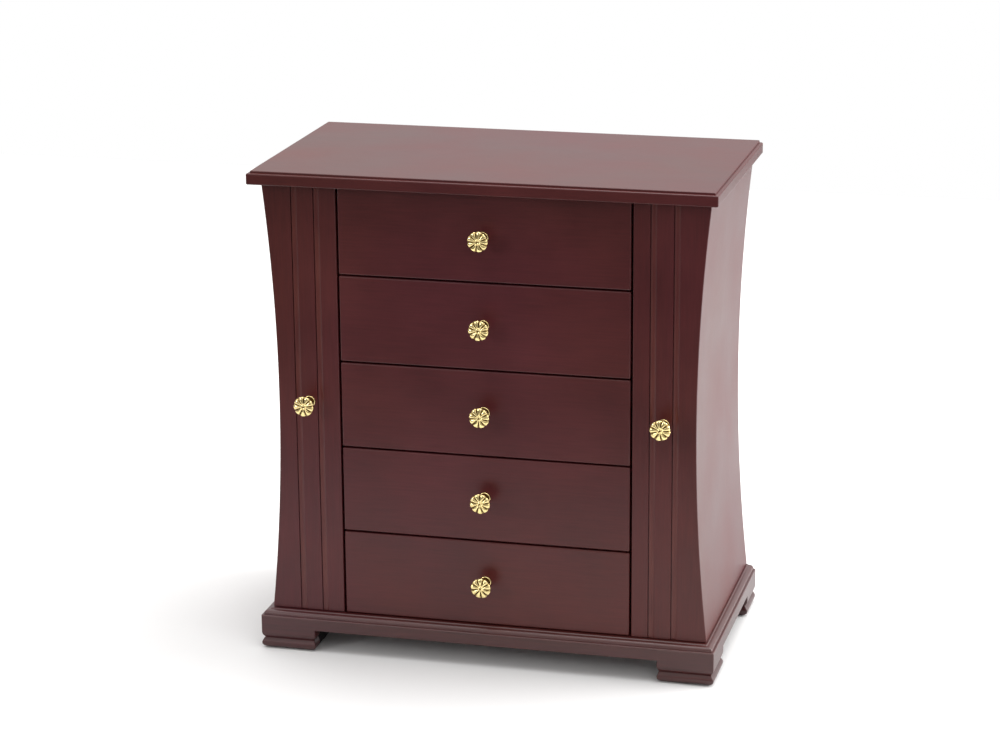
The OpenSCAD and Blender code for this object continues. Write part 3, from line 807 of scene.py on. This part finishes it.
bow_tree, bow = new_tree("bowed_board", Outline="Geometry", Low="Float", High="Float", Middle="Float",
                         Radius="Float", Side="Float", Fixed="Float", Rows="Int", Finish="Material")
plan = bow["Outline"].node("GeometryNodeMeshToCurve", {0: bow["Outline"]})
rail_line = plan.node("GeometryNodeCurvePrimitiveLine", {
    "Start": plan.node("ShaderNodeCombineXYZ", {"Z": bow["Low"]}),
    "End": plan.node("ShaderNodeCombineXYZ", {"Z": bow["High"]})})
rail_line = plan.node("GeometryNodeResampleCurve", {"Curve": rail_line, "Count": bow["Rows"]})
straight = plan.node("GeometryNodeCurveToMesh", {"Curve": rail_line, "Profile Curve": plan,
                                                 "Fill Caps": True})
here_x, _, here_z = plan.node("GeometryNodeInputPosition").parts()
level_z = here_z - bow["Middle"]
bulge = bow["Radius"] - plan.math("SQRT", bow["Radius"] * bow["Radius"] - level_z * level_z)
outside = plan.math("GREATER_THAN", here_x * bow["Side"], bow["Fixed"])
bent = plan.node("GeometryNodeSetPosition", {"Geometry": straight, "Offset": plan.node(
    "ShaderNodeCombineXYZ", {"X": bulge * outside * bow["Side"]})})
close_tree(bow_tree, bent, bow["Finish"])


def bowed(name, outline, low_z, high_z, side, fixed, rows, finish):
    """A board with this plan, whose points beyond fixed follow the waisted side."""
    loop = [(at, (at + 1) % len(outline)) for at in range(len(outline))]
    made = grow(name, bow_tree, {"Low": low_z, "High": high_z, "Middle": mid_z, "Radius": bow_radius,
                                 "Side": float(side), "Fixed": fixed, "Rows": rows, "Finish": finish},
                start=([(side * x, y, 0) for x, y in outline], loop, ()))
    smooth(made)
    return made


def in_mm(points):
    return [(x * MM, y * MM) for x, y in points]


FLUTES = (119, 135.2)
FLUTE_HALF = 2.25
# From the left edge of a flute to its right edge: a fine quirk, then a shallow cove, (place, depth).
flute_cut = [(-FLUTE_HALF, 0), (-FLUTE_HALF + 0.05, 1.25),
             (-FLUTE_HALF + 0.6, 1.25), (-FLUTE_HALF + 0.7, 0.12)]
flute_cut += [(-1.5 + 3.6 * step / 8, 0.12 + 0.42 * math.sin(math.pi * step / 8) ** 0.8)
              for step in range(1, 8)]
flute_cut += [(FLUTE_HALF - 0.1, 0.1), (FLUTE_HALF, 0)]


def wear_and_light_in_flutes(wire):
    """The coves of the flutes are painted a lighter brown, more in some places than in others: the lacquer
    has thinned there, and the colour is also a painted highlight on the cove slopes.
    """
    place = wire.node("ShaderNodeTexCoord", out="Object")
    from_middle = wire.math("ABSOLUTE", place.parts()[0])
    from_cove = wire.math("MINIMUM", *[wire.math("ABSOLUTE", from_middle - flute * MM) for flute in FLUTES])
    in_cove = wire.node("ShaderNodeMapRange", {"Value": from_cove, "From Min": 2.3 * MM,
                                               "From Max": 1.4 * MM})
    drawn = wire.node("ShaderNodeMapping", {"Vector": place, "Scale": (6, 6, 1)})
    patch = noise(drawn, 30, 4)
    fleck = noise(place, 420, 2)
    thinned_and_lit = wire.node("ShaderNodeMapRange", {"Value": patch, "From Min": 0.30, "From Max": 0.75,
                                            "To Min": 0.04, "To Max": 0.5})
    return in_cove * thinned_and_lit * (0.75 + 0.5 * fleck)


# The fluted stiles' lacquer carries wear and a painted highlight in the coves.
lacquer_fluted = lacquer("lacquer_worn_and_lit_in_flutes", "z", wear_and_light=wear_and_light_in_flutes)
# The waisted panels and the outer faces of the stiles take a lighter copy of the lacquer (depth 1.12) with
# less gloss: painted light on the sides.
lacquer_panel = lacquer("lacquer_lightened_on_panels", "z", 0.17, 1.12)

SIDE_THICK = 7
ROWS = 65
STRAIGHT_TO = 142 * MM
RAIL = 8 * MM
waist = waist_x / MM
for side, hand in ((-1, "left"), (1, "right")):
    body = f"{hand}_door"
    low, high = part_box(f"{hand}_door_stile")
    face, behind = low.y / MM, high.y / MM
    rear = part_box(f"{hand}_door_side")[1].y / MM
    inner = min(abs(low.x), abs(high.x)) / MM
    outline = [(inner, behind), *arc(inner + 0.8, face + 0.8, 0.8, 180, 270, 5)]
    for middle in FLUTES:
        cut = flute_cut if side > 0 else [(-place, depth) for place, depth in reversed(flute_cut)]
        outline += [(middle + place, face + depth) for place, depth in cut]
    outline += [*arc(waist - 0.7, face + 0.7, 0.7, 270, 360, 5), (waist, behind)]
    stile = bowed(f"{hand}_door_fluted_stile", in_mm(outline), low.z, high.z, side, STRAIGHT_TO, ROWS,
                  lacquer_fluted)
    # The outer side of the stile is finished with the panel behind it, as one surface.
    stile.data.materials.append(lacquer_panel)
    for facet in stile.data.polygons:
        if facet.normal.x * side > 0.9 and facet.center.x * side > STRAIGHT_TO:
            facet.material_index = 1
    settle(stile, body, "lacquer", f"{hand}_door_stile")

    panel_in = waist - SIDE_THICK
    outline = [(panel_in, behind), (waist, behind), *arc(waist - 1, rear - 1, 1, 0, 90, 5), (panel_in, rear)]
    panel = bowed(f"{hand}_door_waisted_panel", in_mm(outline), low.z, high.z, side, 0, ROWS, lacquer_panel)
    settle(panel, body, "lacquer", f"{hand}_door_side")

    frame_low, frame_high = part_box(f"{hand}_door_frame")
    rail_inner = min(abs(frame_low.x), abs(frame_high.x)) / MM
    rail_rear = rear - 12.9
    outline = [(rail_inner, behind), (panel_in, behind), (panel_in, rail_rear), (rail_inner, rail_rear)]
    top_rail = bowed("top_rail", in_mm(outline), high.z - RAIL, high.z, side, 130 * MM, 4, lacquer_y)
    low_rail = bowed("low_rail", in_mm(outline), low.z, low.z + RAIL, side, 130 * MM, 4, lacquer_y)
    post_inner = 139.8
    outline = [(post_inner, rail_rear), (panel_in, rail_rear), (panel_in, rear - 0.4),
               *arc(post_inner + 5, rear - 5, 5, 120, 180, 6)]
    post = bowed("rear_post", in_mm(outline), low.z, high.z, side, 142.5 * MM, ROWS, lacquer_z)
    door_frame = joined(f"{hand}_door_rails_and_post", [top_rail, low_rail, post])
    settle(door_frame, body, "lacquer", f"{hand}_door_frame")

    lining_low, lining_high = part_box(f"{hand}_door_lining")
    fore, aft = lining_low.y / MM, lining_high.y / MM
    outline = [(panel_in - 1.2, fore), (panel_in - 0.05, fore), (panel_in - 0.05, aft), (panel_in - 1.2, aft)]
    lining = bowed(f"{hand}_door_velvet_lining", in_mm(outline), lining_low.z, lining_high.z, side, 0, ROWS,
                   velvet)
    settle(lining, body, "velvet", f"{hand}_door_lining")

    dress(f"{hand}_door_screw", steel)
    dress(f"{hand}_door_plate", steel)
    knob(f"{hand}_door_knob", body, 3 + 17 * side)

# ---------- Necklace hooks ----------
# Six brass screw hooks under the top rail of each door, each with a collar and a ball end.

hook_tree, hook = new_tree("necklace_hooks", Count="Int", Pitch="Float", Wire="Float", Bend="Float",
                           Drop="Float", Side="Float", Start="Vector", Finish="Material")
shank = hook["Drop"].node("GeometryNodeCurvePrimitiveLine", {
    "Start": (0, 0, 0), "End": hook["Drop"].node("ShaderNodeCombineXYZ", {"Z": 0 - hook["Drop"]})})
bend_curve = shank.node("GeometryNodeCurveArc", {"Resolution": 20, "Radius": hook["Bend"],
                                                 "Start Angle": 0.0, "Sweep Angle": math.pi})
bend_curve = shank.node("GeometryNodeTransform", {
    "Geometry": bend_curve, "Rotation": (math.radians(-90), 0, 0),
    "Translation": shank.node("ShaderNodeCombineXYZ", {"X": 0 - hook["Bend"], "Z": 0 - hook["Drop"]})})
tip = shank.node("GeometryNodeCurvePrimitiveLine", {
    "Start": shank.node("ShaderNodeCombineXYZ", {"X": -2 * hook["Bend"], "Z": 0 - hook["Drop"]}),
    "End": shank.node("ShaderNodeCombineXYZ", {"X": -2 * hook["Bend"], "Z": 3 * MM - hook["Drop"]})})
path = hook_tree.nodes.new("GeometryNodeJoinGeometry")
for stretch in (shank, bend_curve, tip):
    hook_tree.links.new(stretch.socket, path.inputs[0])
wire_round = shank.node("GeometryNodeCurvePrimitiveCircle", {"Resolution": 14, "Radius": hook["Wire"]})
bar = shank.node("GeometryNodeCurveToMesh", {"Curve": Wire(hook_tree, path.outputs[0]),
                                             "Profile Curve": wire_round, "Fill Caps": True})
bead = shank.node("GeometryNodeMeshUVSphere", {"Segments": 18, "Rings": 12, "Radius": 1.4 * hook["Wire"]})
bead = shank.node("GeometryNodeTransform", {"Geometry": bead, "Translation": shank.node(
    "ShaderNodeCombineXYZ", {"X": -2 * hook["Bend"], "Z": 3.4 * MM - hook["Drop"]})})
collar = shank.node("GeometryNodeMeshUVSphere", {"Segments": 24, "Rings": 12, "Radius": 2.6 * MM})
collar = shank.node("GeometryNodeTransform", {"Geometry": collar, "Scale": (1, 1, 0.36)})
single = hook_tree.nodes.new("GeometryNodeJoinGeometry")
for part in (bar, bead, collar):
    hook_tree.links.new(part.socket, single.inputs[0])
facing_in = shank.node("GeometryNodeTransform", {
    "Geometry": Wire(hook_tree, single.outputs[0]),
    "Scale": shank.node("ShaderNodeCombineXYZ", {"X": hook["Side"], "Y": 1, "Z": 1})})
row = shank.node("GeometryNodeMeshLine", {
    "Count": hook["Count"], "Start Location": hook["Start"],
    "Offset": shank.node("ShaderNodeCombineXYZ", {"Y": hook["Pitch"]})})
hooks_row = shank.node("GeometryNodeInstanceOnPoints", {"Points": row, "Instance": facing_in})
close_tree(hook_tree, hooks_row, hook["Finish"])

for side, hand in ((-1, "left"), (1, "right")):
    low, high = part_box(f"{hand}_door_hooks")
    rail_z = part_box(f"{hand}_door_frame")[1].z - RAIL
    collar_r, count = 2.6 * MM, 6
    shank_x = max(abs(low.x), abs(high.x)) - collar_r
    hooks = grow(f"{hand}_door_brass_hooks", hook_tree, {
        "Count": count, "Pitch": (high.y - low.y - 2 * collar_r) / (count - 1), "Wire": 0.9 * MM,
        "Bend": 4 * MM, "Drop": 8 * MM, "Side": float(side),
        "Start": (side * shank_x, low.y + collar_r, rail_z), "Finish": brass})
    settle(hooks, f"{hand}_door", "brass", f"{hand}_door_hooks")

# ---------- Velvet on the partitions ----------
# A thin velvet skin on the compartment side of each partition, behind the hanging necklaces.

low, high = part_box("partitions")
skin = 0.8 * MM
partition_velvet = boards("partition_velvet", [
    ((high.x, low.y + 1 * MM, low.z + 1 * MM), (high.x + skin, high.y - 1 * MM, high.z - 1 * MM)),
    ((low.x - skin, low.y + 1 * MM, low.z + 1 * MM), (low.x, high.y - 1 * MM, high.z - 1 * MM)),
], 0.25, velvet)
settle(partition_velvet, "case", "velvet")

# ---------- Necklace pockets ----------
# A strip of thin satin gathered on an elastic hem along the foot of each door, its ends turned
# in and glued to the lining. It is cut 5 mm longer than its run, and the gathers take that up.


def satin_weave(wire):
    place = wire.node("ShaderNodeTexCoord", out="UV")
    weave = wire.node("ShaderNodeTexWave", {"Vector": place, "Scale": 260, "Distortion": 0.4})
    cross_weave = wire.node("ShaderNodeTexWave", {"Vector": place, "Scale": 300}, bands_direction="Y")
    cloud = noise(place, 9)
    colour = wire.node("ShaderNodeValToRGB", {"Fac": 0.3 * weave + 0.7 * cloud},
                       stops=[(0.25, (0.10, 0.010, 0.022)), (0.75, (0.19, 0.026, 0.045))])
    threads = raised(weave * cross_weave, 0.25, 0.0002)
    return {"Base Color": colour, "Roughness": 0.42 + 0.12 * cloud, "Normal": threads}


satin = finish_of("satin_wine", {"Specular IOR Level": 0.4, "Sheen Weight": 0.35, "Sheen Roughness": 0.4},
                  satin_weave)

for side, hand in ((-1, "left"), (1, "right")):
    low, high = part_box(f"{hand}_door_pocket")
    inner_x = min(abs(low.x), abs(high.x)) + 0.9 * MM
    height = high.z - low.z
    y0, y1 = low.y + 0.9 * MM, high.y - 0.9 * MM
    turn_in, corner = 17 * MM, 5 * MM
    path = [(inner_x + turn_in, y0), *arc(inner_x + corner, y0 + corner, corner, 270, 180, 6),
            *arc(inner_x + corner, y1 - corner, corner, 180, 90, 6), (inner_x + turn_in, y1)]
    lengths = [0]
    for before, after in zip(path, path[1:]):
        lengths.append(lengths[-1] + math.dist(before, after))
    columns, rows = 300, 34
    points, uvs = [], []
    for row_at in range(rows + 1):
        v = row_at / rows
        for column in range(columns + 1):
            reach = lengths[-1] * column / columns
            piece_at = max(i for i in range(len(path) - 1) if lengths[i] <= reach + 1e-9)
            span = lengths[piece_at + 1] - lengths[piece_at]
            share_along = (reach - lengths[piece_at]) / span
            ax, ay = path[piece_at]
            bx, by = path[piece_at + 1]
            x, y = ax + (bx - ax) * share_along, ay + (by - ay) * share_along
            nx, ny = (by - ay) / span, -(bx - ax) / span
            gather = math.sin(column * 0.62 + 0.8 * math.sin(column * 0.11))
            depth = 0.75 * MM * (0.25 + 0.75 * v ** 1.4) * gather
            belly = 1.2 * MM * math.sin(math.pi * v)
            hem = 0.25 * MM * (1 if v > 0.93 else 0)
            points.append((side * (x - nx * (depth * 0.8 + belly * 0.2)), y - ny * depth,
                           low.z + 0.3 * MM + (height - 1.4 * MM) * v + 0.5 * MM * gather * v * v + hem))
            uvs.append((column / columns * 2.4, v))
    across_row = columns + 1
    faces = [(at, at + 1, at + across_row + 1, at + across_row)
             for row_at in range(rows) for at in range(row_at * across_row, row_at * across_row + columns)]
    pocket = mesh_piece(f"{hand}_door_satin_pocket", points, faces, satin)
    layer = pocket.data.uv_layers.new(name="cloth")
    for loop in pocket.data.loops:
        layer.data[loop.index].uv = uvs[loop.vertex_index]
    pocket.data.shade_smooth()
    stuff = pocket.modifiers.new("cloth_thickness", "SOLIDIFY")
    stuff.thickness = 0.45 * MM
    stuff.offset = 0
    settle(pocket, f"{hand}_door", "pocket_cloth", f"{hand}_door_pocket")
